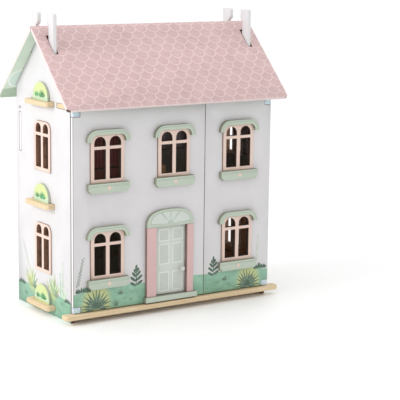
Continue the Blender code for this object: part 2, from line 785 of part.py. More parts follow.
def build_fronts():
    """Both front panels, and the door in the left one."""
    left = joint_empty("left_front_pivot", (-PIVOT_X, PIVOT_Y, PANEL_BOTTOM))
    right = joint_empty("right_front_pivot", (PIVOT_X, PIVOT_Y, PANEL_BOTTOM))
    hinge = joint_empty("front_door_pivot", door_pivot())
    doorway = box_outline((DOORWAY[0], DOORWAY_BOTTOM), (DOORWAY[1], DOORWAY_TOP))
    windows = [(COLUMN_LEFT, WINDOW_LOW_Z), (COLUMN_LEFT, WINDOW_HIGH_Z), (COLUMN_MIDDLE, WINDOW_HIGH_Z)]
    panel = front_panel(-1, "left_front_panel", windows, left, [doorway])
    windows = [(COLUMN_RIGHT, WINDOW_LOW_Z), (COLUMN_RIGHT, WINDOW_HIGH_Z)]
    front_panel(1, "right_front_panel", windows, right)
    window_set("lower", "left", COLUMN_LEFT, WINDOW_LOW_Z, left)
    window_set("upper", "left", COLUMN_LEFT, WINDOW_HIGH_Z, left)
    window_set("upper", "middle", COLUMN_MIDDLE, WINDOW_HIGH_Z, left)
    window_set("lower", "right", COLUMN_RIGHT, WINDOW_LOW_Z, right)
    window_set("upper", "right", COLUMN_RIGHT, WINDOW_HIGH_Z, right)
    for side, name, parent in ((-1, "left", left), (1, "right", right)):
        pivot_block(side, name + "_lower_pivot_block", False, parent)
        pivot_block(side, name + "_upper_pivot_block", True, parent)
    doorway_trim(left)
    door = front_door(hinge)
    door_knob(hinge)
    door_pins(panel, door, hinge)
    bpy.context.view_layer.update()
    for pivot in (left, right, hinge):
        for item in list(pivot.children):
            place_world(item, pivot)
    place_world(hinge, left)


def build_roof():
    """Front and rear roof panels, which share one mesh."""
    mesh = roof_mesh()
    roof_panel("front_roof_panel", mesh, 0)
    roof_panel("rear_roof_panel", mesh, 180)


clear_scene()
build_body()
build_fronts()
build_roof()
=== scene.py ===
"""Looks of the wooden dollhouse: eased and painted boards, printed gardens, wallpaper and studio light.

Lengths are in metres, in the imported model's frame: X to the right across the front, Y to the back, Z up.
"""

import json
import math
import random

import bmesh
import bpy
from mathutils import Matrix, Vector

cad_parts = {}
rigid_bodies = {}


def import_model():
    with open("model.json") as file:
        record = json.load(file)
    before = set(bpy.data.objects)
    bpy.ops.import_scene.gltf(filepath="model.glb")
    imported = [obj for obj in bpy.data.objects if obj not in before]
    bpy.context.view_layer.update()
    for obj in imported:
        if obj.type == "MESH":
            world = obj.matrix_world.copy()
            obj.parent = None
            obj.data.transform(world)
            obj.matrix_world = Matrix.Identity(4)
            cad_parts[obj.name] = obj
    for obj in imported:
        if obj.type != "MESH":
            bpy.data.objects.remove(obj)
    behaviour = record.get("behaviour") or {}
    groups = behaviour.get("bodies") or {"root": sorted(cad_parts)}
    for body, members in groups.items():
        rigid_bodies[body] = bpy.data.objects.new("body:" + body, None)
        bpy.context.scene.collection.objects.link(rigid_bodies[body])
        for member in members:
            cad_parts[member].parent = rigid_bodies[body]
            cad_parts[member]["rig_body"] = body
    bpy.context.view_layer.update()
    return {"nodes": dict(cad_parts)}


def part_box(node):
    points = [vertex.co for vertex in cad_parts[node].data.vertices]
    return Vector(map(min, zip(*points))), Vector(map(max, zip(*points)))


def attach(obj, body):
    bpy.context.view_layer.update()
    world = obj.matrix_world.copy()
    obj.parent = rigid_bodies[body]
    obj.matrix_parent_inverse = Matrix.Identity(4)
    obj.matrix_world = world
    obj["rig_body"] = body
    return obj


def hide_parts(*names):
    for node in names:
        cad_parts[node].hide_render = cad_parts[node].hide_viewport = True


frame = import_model()

MM = 0.001

# Camera, aimed to the right of the house so that it stands left in the picture
CAMERA_AZIMUTH = math.radians(-33.946)
CAMERA_ELEVATION = math.radians(10.495)
CAMERA_ROLL = math.radians(0.722)
CAMERA_DISTANCE = 3.867
CAMERA_AIM = Vector((0.1819, 0.0, 0.2473))
CAMERA_LENS = 126.78

# Stage
FLOOR_REACH = 80.0                 # half the floor's side, far enough for its edge to stay out of view
SURROUNDINGS = 1.05                # brightness of the white surroundings
LIGHT_PLACE = Vector((-3.4, 0.1, 1.9))
LIGHT_AIM = Vector((0, 0, 0.35))
LIGHT_SIZE = 1.2
LIGHT_WATTS = 58

# Boards
WELD = 0.01 * MM                   # vertices closer than this are one
FLAT = math.radians(0.5)           # faces that turn less than this are one face
SHARP = math.radians(35)           # edges that turn more than this are eased
ARRIS = 0.5 * MM                   # eased edge of a painted board
WALL_ARRIS = 0.8 * MM              # of a wall, where the brown board shows through
SOFT_ARRIS = 0.9 * MM              # eased edge of bare wood
HARDWARE_ARRIS = 0.15 * MM         # of a screw or a pin
FACING = 0.9                       # how squarely a face must look along an axis to count
RIM = 0.44                         # share of a window frame's size beyond which its edge is outer
SLOT_REACH = (-20 * MM, 10 * MM)   # where the roof's slots are, from the outer face of a side wall
PRONG_FOOT = 66 * MM               # from the ridge down to where the side walls' prongs begin
HOOD_CORNER = 27.5 * MM            # radius of a window hood's corners

# Patterns
FRONT_LAWN = 83 * MM               # height of the printed lawns
SIDE_LAWN = 58 * MM
SCALES_ACROSS = 19
SCALE_PITCH = 22.6 * MM            # from one row of roof scales to the next
BRICK = (46 * MM, 18 * MM)
LEFT_DADO = 46 * MM                # height of the lower part of a room's wall
RIGHT_DADO = 84 * MM
CUPBOARDS = 62 * MM
RAIL = 5 * MM                      # height of the rail on top of it
SKIRTING = 9 * MM

# Prints
INK = 0.05 * MM                    # thickness of a printed shape
STACK = 0.002 * MM                 # by which each shape on a page tops the one before
LIFT = 0.02 * MM                   # clearance under a print
GROOVE = (4.2 * MM, 5.4 * MM)      # from a window hood's edge to a printed groove's two sides
SILL_LINE = 0.9 * MM
DOOR_LINE_WIDTH = 2.4 * MM
FAN_SQUARENESS = 2.6               # of the fanlight's arch; 2 would be an ellipse
FAN_HUB = 8 * MM                   # radius left free at the fanlight's centre
FAN_MARGIN = (12 * MM, 7 * MM)     # from the panes to the fanlight's sides and to its top
FAN_BASE = 6.5 * MM                # from its foot up to the panes' centre

# Planes of the house
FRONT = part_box("left_front_panel")[0].y
HALF_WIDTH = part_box("right_side_wall")[1].x
MIDDLE_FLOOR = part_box("middle_floor")
ATTIC_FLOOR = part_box("attic_floor")
BASE_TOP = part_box("base_board")[1].z
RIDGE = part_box("front_roof_panel")[1].z
EAVE = abs(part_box("front_roof_panel")[0].y)
ROOF_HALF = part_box("front_roof_panel")[1].x


def rgb(red, green, blue):
    """Linear colour of a display colour given as 0 to 255."""
    def linear(value):
        value /= 255
        return value / 12.92 if value <= 0.04045 else ((value + 0.055) / 1.055) ** 2.4
    return (linear(red), linear(green), linear(blue), 1.0)


# Colours. A pair is for a paint that drifts from the first to the second.
BLACK = (0.0, 0.0, 0.0, 1.0)
FLOOR_WHITE = rgb(254, 254, 254)
WHITE = rgb(208, 206, 207)
WHITE_EDGE = rgb(220, 219, 219)
MDF_BROWN = rgb(86, 62, 50)
# Browned edge round the panes, in two copies: darker as painted shade for the front windows, lighter as
# painted light for the side windows
SHADED_REVEAL = rgb(58, 42, 36)
LIT_REVEAL = rgb(126, 94, 76)
LAWN = rgb(140, 181, 157)
LAWN_DARK = rgb(124, 168, 143)
LAWN_LIGHT = rgb(163, 200, 178)
GLOW = rgb(190, 195, 134)
PEACH = rgb(220, 196, 183)
PEACH_EDGE = rgb(160, 132, 118)
PALE_PEACH_EDGE = rgb(190, 164, 150)
SAGE = rgb(181, 192, 177)
SAGE_LINE = rgb(152, 166, 150)
SAGE_EDGE = rgb(140, 142, 124)
PANE = rgb(196, 204, 197)
DOOR = rgb(199, 204, 196)
DOOR_EDGE = rgb(186, 190, 180)
DOOR_LINE = rgb(218, 223, 216)
DOOR_FIELD = rgb(191, 197, 189)
PINK = rgb(206, 172, 170)
PINK_EDGE = rgb(140, 112, 106)
PETAL = rgb(214, 190, 178)
CREAM = rgb(238, 222, 190)
ROOF_PINK = (rgb(208, 178, 177), rgb(203, 172, 172))
ROOF_LINE = rgb(224, 200, 198)
ROOF_EDGE = rgb(222, 204, 202)
MINT = (rgb(202, 217, 200), rgb(194, 210, 193))
MINT_DEEP = rgb(164, 186, 160)
MINT_PALE = rgb(200, 218, 208)
POND_RING = rgb(226, 234, 228)
RUG_PINK = rgb(228, 214, 214)
RUG_CORAL = rgb(226, 170, 154)
SLAB = rgb(206, 222, 212)
DOT = rgb(244, 246, 242)
LEAF_DARK = (rgb(72, 94, 82), rgb(84, 110, 92))
LEAF_GREY = (rgb(104, 128, 112), rgb(126, 148, 124))
LEAF_LIME = (rgb(166, 174, 112), rgb(206, 210, 140))
LEAF_MINT = (rgb(152, 186, 164), rgb(186, 216, 190))
LEAF_FAINT = (rgb(176, 188, 176), rgb(204, 212, 190))
KEY_LEAF = (rgb(66, 116, 72), rgb(96, 170, 110))
KEY_FACE = (rgb(190, 212, 184), rgb(200, 210, 144))
KEY_EDGE = rgb(176, 186, 166)
PLY = (rgb(226, 205, 170), rgb(203, 176, 136))
STAIR = (rgb(230, 195, 152), rgb(204, 163, 119))
STAIR_SIDE = (rgb(214, 176, 132), rgb(184, 144, 102))
PLASTIC = (rgb(188, 206, 216), rgb(208, 222, 228))
ZINC = (rgb(168, 168, 170), rgb(206, 206, 208))


class Field:
    """A number that varies over a surface. Arithmetic on fields adds math nodes to their paint."""

    def __init__(self, paint, socket):
        self.paint = paint
        self.socket = socket

    def __add__(self, other):
        return self.paint.math("ADD", self, other)

    def __sub__(self, other):
        return self.paint.math("SUBTRACT", self, other)

    def __rsub__(self, other):
        return self.paint.math("SUBTRACT", other, self)

    def __mul__(self, other):
        return self.paint.math("MULTIPLY", self, other)

    def __truediv__(self, other):
        return self.paint.math("DIVIDE", self, other)

    def __abs__(self):
        return self.paint.math("ABSOLUTE", self)

    __radd__ = __add__
    __rmul__ = __mul__


class Paint:
    """A node material read in the object's own coordinates, so that prints move with their board."""

    def __init__(self, name, roughness=0.5):
        self.material = bpy.data.materials.new(name)
        self.material.use_nodes = True
        self.tree = self.material.node_tree
        self.surface = self.tree.nodes["Principled BSDF"]
        self.surface.inputs["Roughness"].default_value = roughness
        self.place = self.tree.nodes.new("ShaderNodeTexCoord").outputs["Object"]
        axes = self.node("ShaderNodeSeparateXYZ", self.place)
        self.x, self.y, self.z = (Field(self, output) for output in axes.outputs)

    def feed(self, socket, value):
        """Set a socket to a number or colour, or link it to a field or another socket."""
        if isinstance(value, Field):
            value = value.socket
        if isinstance(value, bpy.types.NodeSocket):
            self.tree.links.new(value, socket)
        else:
            socket.default_value = value

    def node(self, kind, *values):
        """New node with its first inputs fed."""
        node = self.tree.nodes.new(kind)
        for socket, value in zip(node.inputs, values):
            self.feed(socket, value)
        return node

    def math(self, operation, *values):
        """Result of a math node."""
        node = self.node("ShaderNodeMath", *values)
        node.operation = operation
        return Field(self, node.outputs[0])

    def distance(self, across, up):
        """Length of a flat vector."""
        return self.math("SQRT", across * across + up * up)

    def step(self, value, low, high):
        """0 at low and 1 at high, smooth between them."""
        node = self.node("ShaderNodeMapRange", value, low, high)
        node.interpolation_type = "SMOOTHSTEP"
        return Field(self, node.outputs[0])

    def between(self, value, low, high, soft):
        """1 from low to high, and 0 outside."""
        return self.step(value, low - soft, low + soft) * self.step(value, high + soft, high - soft)

    def wave(self, value, pitch):
        """Sine of a length, from -1 to 1."""
        return self.math("SINE", value * (2 * math.pi / pitch))

    def noise(self, size, detail=2.0, stretch=(1, 1, 1)):
        """Noise from about 0 to 1 with features of one size, drawn out along an axis."""
        spread = self.node("ShaderNodeVectorMath", self.place, stretch)
        spread.operation = "MULTIPLY"
        node = self.node("ShaderNodeTexNoise")
        self.feed(node.inputs["Vector"], spread.outputs[0])
        node.inputs["Scale"].default_value = 1 / size
        node.inputs["Detail"].default_value = detail
        return Field(self, node.outputs[0])

    def mix(self, share, first, second):
        """Colour between two colours."""
        node = self.tree.nodes.new("ShaderNodeMix")
        node.data_type = "RGBA"
        self.feed(node.inputs[0], share)
        self.feed(node.inputs[6], first)
        self.feed(node.inputs[7], second)
        return node.outputs[2]

    def shaded(self, colour, share):
        """Colour darkened where the share is high."""
        return self.mix(share, colour, BLACK)

    def finish(self, colour, height=None, relief=0.1 * MM):
        """Send the colour, and the relief if there is one, to the shader."""
        self.feed(self.surface.inputs["Base Color"], colour)
        if height is not None:
            bump = self.tree.nodes.new("ShaderNodeBump")
            bump.inputs["Strength"].default_value = 0.5
            bump.inputs["Distance"].default_value = relief
            self.feed(bump.inputs["Height"], height)
            self.feed(self.surface.inputs["Normal"], bump.outputs[0])
        return self.material


# Paints and prints ----------------------------------------------------------

def lacquer(paint, colour):
    """Rolled lacquer over a colour: a faint cloudiness and an orange-peel relief."""
    cloud = paint.noise(60 * MM, 3.0)
    colour = paint.shaded(colour, paint.step(cloud, 0.35, 0.75) * 0.045)
    peel = paint.noise(1.6 * MM, 2.0)
    return paint.finish(colour, peel, 0.05 * MM)


def plain_paint(name, colour):
    """Board painted in one colour."""
    return lacquer(Paint(name), colour)


def brown_edge(name, tone, painted_above=None):
    """Edge of a fibreboard, browned by the cut, and white above a height where one is given."""
    paint = Paint(name, 0.8)
    fibre = paint.noise(1.2 * MM, 4.0)
    scorch = paint.noise(14 * MM, 2.0)
    pale = tuple(1.5 * part for part in tone[:3]) + (1.0,)
    colour = paint.mix(paint.step(fibre, 0.3, 0.7), tone, pale)
    colour = paint.shaded(colour, paint.step(scorch, 0.45, 0.7) * 0.3)
    if painted_above is not None:
        colour = paint.mix(paint.step(paint.z, painted_above, painted_above + 1 * MM), colour, WHITE)
    return paint.finish(colour, fibre, 0.15 * MM)


def lawn(paint, along, crest, drop_from, drop_to, glows):
    """White wall with a printed lawn along its foot, lower towards the ends of the wall.

    glows are (along, up, reach) of patches of yellow-green light.
    """
    hills = paint.wave(along + 20 * MM, 170 * MM) * (1.8 * MM)
    drop = paint.step(abs(along), drop_from, drop_to) * (9 * MM)
    top = hills - drop + crest
    mottle = paint.step(paint.noise(34 * MM, 2.0, (1, 1, 1.8)), 0.34, 0.7)
    colour = paint.mix(mottle, LAWN_DARK, LAWN)
    rise = paint.step(paint.z, crest - 45 * MM, crest)
    speckle = paint.noise(5 * MM, 2.0, (1.6, 1.6, 0.7))
    colour = paint.mix(rise * paint.step(speckle, 0.3, 0.8) * 0.6, colour, LAWN_LIGHT)
    for centre, up, reach in glows:
        far = paint.distance(along - centre, (paint.z - up) * 0.8)
        ragged = far + paint.noise(9 * MM, 2.0) * (12 * MM)
        share = paint.step(ragged, reach + 12 * MM, reach - 8 * MM)
        colour = paint.mix(share * 0.85, colour, GLOW)
    grass = paint.step(paint.z, top + 0.5 * MM, top - 0.5 * MM)
    return paint.mix(grass, WHITE, colour)


def front_print():
    """Outer face of the front panels."""
    paint = Paint("front_print", 0.45)
    glows = [(-0.234, 0.045, 0.044), (0.235, 0.045, 0.04)]
    return lacquer(paint, lawn(paint, paint.x, FRONT_LAWN, 0.245, 0.305, glows))


def side_print():
    """Outer face of the side walls."""
    paint = Paint("side_print", 0.45)
    glows = [(0.065, 0.06, 0.018), (-0.05, 0.06, 0.02)]
    return lacquer(paint, lawn(paint, paint.y, SIDE_LAWN, 0.095, 0.15, glows))


def fish_scales():
    """Outer face of the roof: rows of U-shaped scales in a paler line."""
    width = 2 * ROOF_HALF / SCALES_ACROSS
    radius = width / 2
    hidden = 9 * MM                     # of the top row, lost at the ridge
    paint = Paint("roof_scales", 0.5)
    slope = abs(paint.y) * math.sqrt(2) + hidden
    row = paint.math("FLOOR", slope / SCALE_PITCH)
    down = slope - row * SCALE_PITCH
    turn = paint.math("FLOORED_MODULO", row, 2.0) * 0.5
    across = paint.x / width + turn
    across = abs(across - paint.math("ROUND", across)) * width
    arc = abs(paint.distance(across, down) - radius)
    straight = across + paint.step(down, radius, radius - 0.4 * MM)
    line = paint.math("MINIMUM", arc, straight)
    share = paint.step(line, 1.7 * MM, 0.6 * MM)
    body = paint.step(paint.noise(30 * MM, 3.0), 0.35, 0.7)
    colour = paint.mix(body, *ROOF_PINK)
    colour = paint.shaded(colour, paint.step(down, 4 * MM, SCALE_PITCH) * 0.03)
    return lacquer(paint, paint.mix(share, colour, ROOF_LINE))


def roof_garden(name, furnished):
    """Inner face of a roof panel: a lawn with ponds, and rugs, slabs and a dotted border if furnished."""
    paint = Paint(name, 0.5)
    slope = abs(paint.y) * math.sqrt(2)
    eave = EAVE * math.sqrt(2)
    mottle = paint.step(paint.noise(45 * MM, 3.0), 0.35, 0.7)
    colour = paint.mix(mottle, *MINT)
    shore = paint.step(slope + paint.wave(paint.x, 0.31) * (6 * MM), eave - 47 * MM, eave - 45 * MM)
    colour = paint.mix(shore, colour, MINT_DEEP)
    for x, down, radius in ((-0.293, eave - 85 * MM, 34 * MM), (0.3, eave - 62 * MM, 14 * MM)):
        far = paint.distance(paint.x - x, slope - down)
        colour = paint.mix(paint.step(far, radius, radius - 1 * MM), colour, MINT_PALE)
        ring = paint.step(abs(far - radius), 2.4 * MM, 1.4 * MM)
        colour = paint.mix(ring, colour, POND_RING)
    if not furnished:
        return lacquer(paint, colour)
    rugs = (((-0.28, -0.18), (eave - 95 * MM, eave - 30 * MM), RUG_PINK),
            ((0.06, 0.21), (eave - 110 * MM, eave - 66 * MM), RUG_CORAL))
    for span, rows, tone in rugs:
        cloth = paint.between(paint.x, *span, 0.5 * MM) * paint.between(slope, *rows, 0.5 * MM)
        colour = paint.mix(cloth, colour, tone)
    for low in (-0.06, 0.04, 0.14):
        slab = paint.between(paint.x, low, low + 0.08, 0.5 * MM)
        slab = slab * paint.between(slope, 22 * MM, 34 * MM, 0.5 * MM)
        colour = paint.mix(slab, colour, SLAB)
    edge = paint.math("MINIMUM", ROOF_HALF - abs(paint.x), eave - slope)
    colour = paint.mix(paint.step(edge, 15 * MM, 14 * MM), colour, MINT_PALE)
    spacing = 26 * MM
    along = (paint.x + paint.y * math.sqrt(2)) / spacing
    along = abs(along - paint.math("ROUND", along)) * spacing
    dot = paint.step(paint.distance(along, edge - 7 * MM), 2.6 * MM, 1.8 * MM)
    colour = paint.mix(dot, colour, DOT)
    return lacquer(paint, colour)


def stripes(paint, along, pitch, share):
    """1 on evenly spaced upright stripes."""
    turn = along / pitch
    turn = abs(turn - paint.math("ROUND", turn))
    return paint.step(turn, share / 2 + 0.04, share / 2 - 0.04)


def bricks(paint, along, colour, joint):
    """Courses of bricks with thin joints."""
    length, course = BRICK
    row = paint.math("FLOOR", paint.z / course)
    up = paint.z - row * course
    turn = along / length + paint.math("FLOORED_MODULO", row, 2.0) * 0.5
    near = abs(turn - paint.math("ROUND", turn)) * length
    line = paint.math("MINIMUM", near, up)
    tone = paint.step(paint.noise(30 * MM, 1.0, (1, 1, 3)), 0.4, 0.65)
    colour = paint.mix(tone * 0.4, colour, joint)
    return paint.mix(paint.step(line, 1.4 * MM, 0.6 * MM), colour, joint)


def dado(paint, colour, floor, height, tone, rail_tone):
    """Lower part of a room's wall, with a rail and a skirting."""
    colour = paint.mix(paint.step(paint.z, floor + height, floor + height - 0.6 * MM), colour, tone)
    rail = paint.between(paint.z, floor + height, floor + height + RAIL, 0.4 * MM)
    skirting = paint.step(paint.z, floor + SKIRTING, floor + SKIRTING - 1 * MM)
    return paint.mix(paint.math("MAXIMUM", rail, skirting), colour, rail_tone)


# Wallpapers of the rooms on the left and on the right: pale on the front panels, and darker and stronger
# inside the house, where the shade of the closed rooms is painted into the tones
PALE_LEFT = {"wall": rgb(226, 200, 198), "stripe": rgb(202, 166, 166), "dado": rgb(226, 208, 206),
             "brick": rgb(158, 158, 152), "joint": rgb(186, 186, 180), "cupboard": rgb(194, 202, 204),
             "rail": rgb(230, 230, 230)}
SHADED_LEFT_TONES = {"wall": rgb(206, 144, 146), "stripe": rgb(180, 114, 118), "dado": rgb(194, 140, 138),
             "brick": rgb(112, 116, 106), "joint": rgb(140, 144, 134), "cupboard": rgb(132, 138, 128),
             "rail": rgb(128, 116, 112)}
PALE_RIGHT = {"wall": rgb(224, 222, 228), "stripe": rgb(198, 196, 206), "dado": rgb(208, 200, 212),
              "weave": rgb(222, 194, 170), "thread": rgb(214, 184, 160), "cupboard": rgb(210, 200, 210),
              "rail": rgb(230, 230, 230)}
SHADED_RIGHT_TONES = {"wall": rgb(188, 182, 184), "stripe": rgb(150, 146, 150), "dado": rgb(150, 152, 148),
              "weave": rgb(212, 166, 132), "thread": rgb(200, 154, 120), "cupboard": rgb(190, 148, 124),
              "rail": rgb(128, 116, 112)}


def left_rooms(paint, along, tones):
    """Pink striped bedroom over a grey brick kitchen."""
    lower, upper = BASE_TOP, MIDDLE_FLOOR[1].z
    bedroom = paint.mix(stripes(paint, along, 11 * MM, 0.35), tones["wall"], tones["stripe"])
    bedroom = dado(paint, bedroom, upper, LEFT_DADO, tones["dado"], tones["rail"])
    kitchen = bricks(paint, along, tones["brick"], tones["joint"])
    kitchen = dado(paint, kitchen, lower, CUPBOARDS, tones["cupboard"], tones["rail"])
    return paint.mix(paint.step(paint.z, upper - 1 * MM, upper), kitchen, bedroom)


def right_rooms(paint, along, tones):
    """Lilac bedroom with broad stripes over a peach living room."""
    lower, upper = BASE_TOP, MIDDLE_FLOOR[1].z
    bedroom = paint.mix(stripes(paint, along, 52 * MM, 0.45), tones["wall"], tones["stripe"])
    bedroom = dado(paint, bedroom, upper, RIGHT_DADO, tones["dado"], tones["rail"])
    weave = paint.step(paint.noise(12 * MM, 2.0, (1, 1, 3)), 0.4, 0.65)
    living = paint.mix(weave, tones["weave"], tones["thread"])
    living = dado(paint, living, lower, CUPBOARDS, tones["cupboard"], tones["rail"])
    return paint.mix(paint.step(paint.z, upper - 1 * MM, upper), living, bedroom)


def wallpaper(name, axis, left=None, right=None):
    """Inner face of a wall, plain from the attic up. With two sets of tones the rooms meet in the middle."""
    paint = Paint(name, 0.55)
    along = getattr(paint, axis)
    colour = left_rooms(paint, along, left) if left else right_rooms(paint, along, right)
    if left and right:
        share = paint.step(paint.x, -0.5 * MM, 0.5 * MM)
        colour = paint.mix(share, colour, right_rooms(paint, along, right))
    band = paint.between(paint.z, MIDDLE_FLOOR[0].z - 1 * MM, MIDDLE_FLOOR[1].z + 1 * MM, 0.5 * MM)
    attic = paint.step(paint.z, ATTIC_FLOOR[1].z, ATTIC_FLOOR[1].z + 0.5 * MM)
    plain = paint.math("MAXIMUM", band, attic)
    return lacquer(paint, paint.mix(plain, colour, WHITE))


def wood(name, light, dark, plies=None):
    """Pale wood with its grain along X, and on an edge the lines of its plies at one pitch."""
    paint = Paint(name, 0.6)
    fibre = paint.noise(1.5 * MM, 5.0, (0.03, 1, 1))
    figure = paint.noise(14 * MM, 3.0, (0.06, 1, 1))
    rings = paint.wave(paint.y + figure * (60 * MM), 13 * MM) * 0.5 + 0.5
    colour = paint.mix(rings * 0.45 + paint.step(fibre, 0.3, 0.75) * 0.5, light, dark)
    if plies:
        layer = paint.wave(paint.z, plies)
        colour = paint.shaded(colour, paint.step(layer, 0.2, 0.8) * 0.16)
    pores = paint.step(paint.noise(0.7 * MM, 2.0, (0.05, 1, 1)), 0.62, 0.72)
    colour = paint.shaded(colour, pores * 0.12)
    return paint.finish(colour, fibre, 0.12 * MM)


def key_print():
    """Face of a half-round key: yellow-green above, mint below."""
    paint = Paint("key_print", 0.45)
    storey = ATTIC_FLOOR[1].z - MIDDLE_FLOOR[1].z
    up = paint.z - MIDDLE_FLOOR[1].z
    up = up - paint.math("FLOOR", up / storey) * storey
    cloud = paint.noise(12 * MM, 3.0) * (14 * MM)
    return lacquer(paint, paint.mix(paint.step(up + cloud, 12 * MM, 32 * MM), *KEY_FACE))


def leaf_paint(name, low, high):
    """Printed leaf whose colour drifts along it."""
    paint = Paint(name, 0.5)
    drift = paint.step(paint.noise(14 * MM, 2.0), 0.35, 0.65)
    vein = paint.step(paint.noise(1.5 * MM, 2.0, (1, 1, 0.25)), 0.5, 0.7) * 0.2
    return paint.finish(paint.mix(vein, paint.mix(drift, low, high), high))


def ink(name, colour):
    """Flat printing ink with a slight unevenness."""
    paint = Paint(name, 0.5)
    return paint.finish(paint.shaded(colour, paint.step(paint.noise(8 * MM, 3.0), 0.4, 0.7) * 0.04))


def pivot_plastic():
    """Milky plastic of the corner blocks."""
    paint = Paint("milky_plastic", 0.25)
    paint.surface.inputs["Subsurface Weight"].default_value = 0.6
    paint.surface.inputs["Subsurface Scale"].default_value = 4 * MM
    haze = paint.step(paint.noise(6 * MM, 2.0), 0.35, 0.7)
    return paint.finish(paint.mix(haze, *PLASTIC), paint.noise(2 * MM), 0.03 * MM)


def zinc():
    """Bright zinc on the screws and pins."""
    paint = Paint("zinc", 0.3)
    paint.surface.inputs["Metallic"].default_value = 1.0
    rub = paint.noise(0.8 * MM, 3.0, (1, 1, 0.2))
    return paint.finish(paint.mix(paint.step(rub, 0.3, 0.7), *ZINC), rub)


# Boards ---------------------------------------------------------------------
# A chooser takes a face's normal and middle, and gives the index of its material.

def link(name, mesh, materials):
    """Object of a bmesh, with its materials."""
    data = bpy.data.meshes.new(name)
    mesh.to_mesh(data)
    mesh.free()
    for material in materials:
        data.materials.append(material)
    piece = bpy.data.objects.new(name, data)
    bpy.context.scene.collection.objects.link(piece)
    return piece


def finished(node, materials, choose=None, arris=ARRIS, arris_material=-1):
    """Copy of a CAD node with whole faces and eased arrises, painted as a chooser says.

    arris_material is the index of the arrises' own material, or -1 where they take their neighbours'.
    """
    source = frame["nodes"][node]
    mesh = bmesh.new()
    mesh.from_mesh(source.data)
    bmesh.ops.remove_doubles(mesh, verts=mesh.verts, dist=WELD)
    bmesh.ops.dissolve_limit(mesh, angle_limit=FLAT, verts=mesh.verts, edges=mesh.edges)
    for face in mesh.faces:
        face.smooth = True
        face.material_index = choose(face.normal, face.calc_center_median()) if choose else 0
    piece = link(node + "_finished", mesh, materials)
    ease = piece.modifiers.new("eased_arrises", "BEVEL")
    ease.width = arris
    ease.segments = 2
    ease.limit_method = "ANGLE"
    ease.angle_limit = SHARP
    ease.use_clamp_overlap = False
    ease.harden_normals = True
    ease.material = arris_material
    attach(piece, source["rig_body"])
    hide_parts(node)


def faces_along(direction):
    """Chooser: 0 for a face that looks that way, 1 for one that looks the other way, 2 for an edge."""
    direction = Vector(direction).normalized()

    def choose(normal, middle):
        squareness = normal.dot(direction)
        if squareness > FACING:
            return 0
        return 1 if squareness < -FACING else 2
    return choose


def faced(node, face, edge, direction, arris=ARRIS):
    """Finished board with one paint on its two faces and another round its edge."""
    finished(node, [face, face, edge], faces_along(direction), arris)


def roof_faces(side):
    """Chooser for a roof panel: scales outside, garden inside, a pale rim and brown slots."""
    facing = faces_along((0, side, 1))
    slot_start, slot_end = (HALF_WIDTH + reach for reach in SLOT_REACH)

    def choose(normal, middle):
        face = facing(normal, middle)
        along_slot = abs(normal.x) > FACING and abs(middle.x) < slot_end
        across_slot = abs(normal.x) < FACING and abs(middle.x) > slot_start
        return 3 if face == 2 and (along_slot or across_slot) else face
    return choose


def side_wall_faces(side):
    """Chooser for a side wall: raw brown board where the front panel and the roof cover the edge, dark there
    as painted shade in the gaps.
    """
    facing = faces_along((side, 0, 0))

    def choose(normal, middle):
        front_edge = normal.y < -FACING and middle.z < ATTIC_FLOOR[0].z
        under_roof = 0.5 < normal.z < FACING and middle.z < RIDGE
        # Brown on the covered edges paints in the shade of the gaps beside the front panel and under the
        # roof
        return 3 if front_edge or under_roof else facing(normal, middle)
    return choose


def front_panel_faces(normal, middle):
    """Chooser for a front panel: its lower edge is raw brown board, dark there as painted shade in the gap
    above the base board.
    """
    # Brown on the lower edge paints in the shade of the gap above the base board
    return 3 if normal.z < -FACING else faces_along((0, -1, 0))(normal, middle)


def build_boards(paints):
    """Walls, front panels, roof and floors."""
    white, brown = paints["white"], paints["brown"]
    for side, name, shaded_tones, pale in ((-1, "left", {"left": SHADED_LEFT_TONES}, {"left": PALE_LEFT}),
                                   (1, "right", {"right": SHADED_RIGHT_TONES}, {"right": PALE_RIGHT})):
        # The side walls' inner faces take the shaded tones: painted shade inside the house
        inner = wallpaper(name + "_wallpaper", "y", **shaded_tones)
        finished(name + "_side_wall",
                 [paints["side_print"], inner, white, brown, paints["wall_arris"]],
                 side_wall_faces(side), WALL_ARRIS, arris_material=4)
        inner = wallpaper(name + "_front_wallpaper", "x", **pale)
        finished(name + "_front_panel", [paints["front_print"], inner, white, brown],
                 front_panel_faces, WALL_ARRIS, arris_material=3)
    # The back wall takes the shaded tones of both rooms: painted shade inside the house
    inner = wallpaper("back_shaded_wallpaper", "x", SHADED_LEFT_TONES, SHADED_RIGHT_TONES)
    finished("back_wall", [inner, white, white, brown], faces_along((0, -1, 0)),
             arris_material=3)
    for side, name in ((-1, "front"), (1, "rear")):
        garden = roof_garden(name + "_roof_garden", side < 0)
        finished(name + "_roof_panel",
                 [paints["fish_scales"], garden, paints["roof_edge"], brown], roof_faces(side))
    for node in ("base_board", "middle_floor", "attic_floor"):
        faced(node, paints["ply"], paints["ply_edge"], (0, 0, 1), SOFT_ARRIS)
    for node in ("lower_staircase", "upper_staircase"):
        faced(node, paints["stair"], paints["stair_edge"], (0, 0, 1))


def frame_faces(node, on_side):
    """Chooser for a window frame: painted faces, a darker rim, and brown round the panes."""
    low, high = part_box(node)
    centre, size = (low + high) / 2, high - low
    facing = faces_along((1, 0, 0) if on_side else (0, 1, 0))
    level = 1 if on_side else 0         # the axis along which the frame is wide

    def choose(normal, middle):
        face = facing(normal, middle)
        if face < 2:
            return face
        out = middle - centre
        rim = abs(out[level]) / size[level] > RIM or abs(out.z) / size.z > RIM
        return 2 if rim and out.dot(normal) > 0 else 3
    return choose


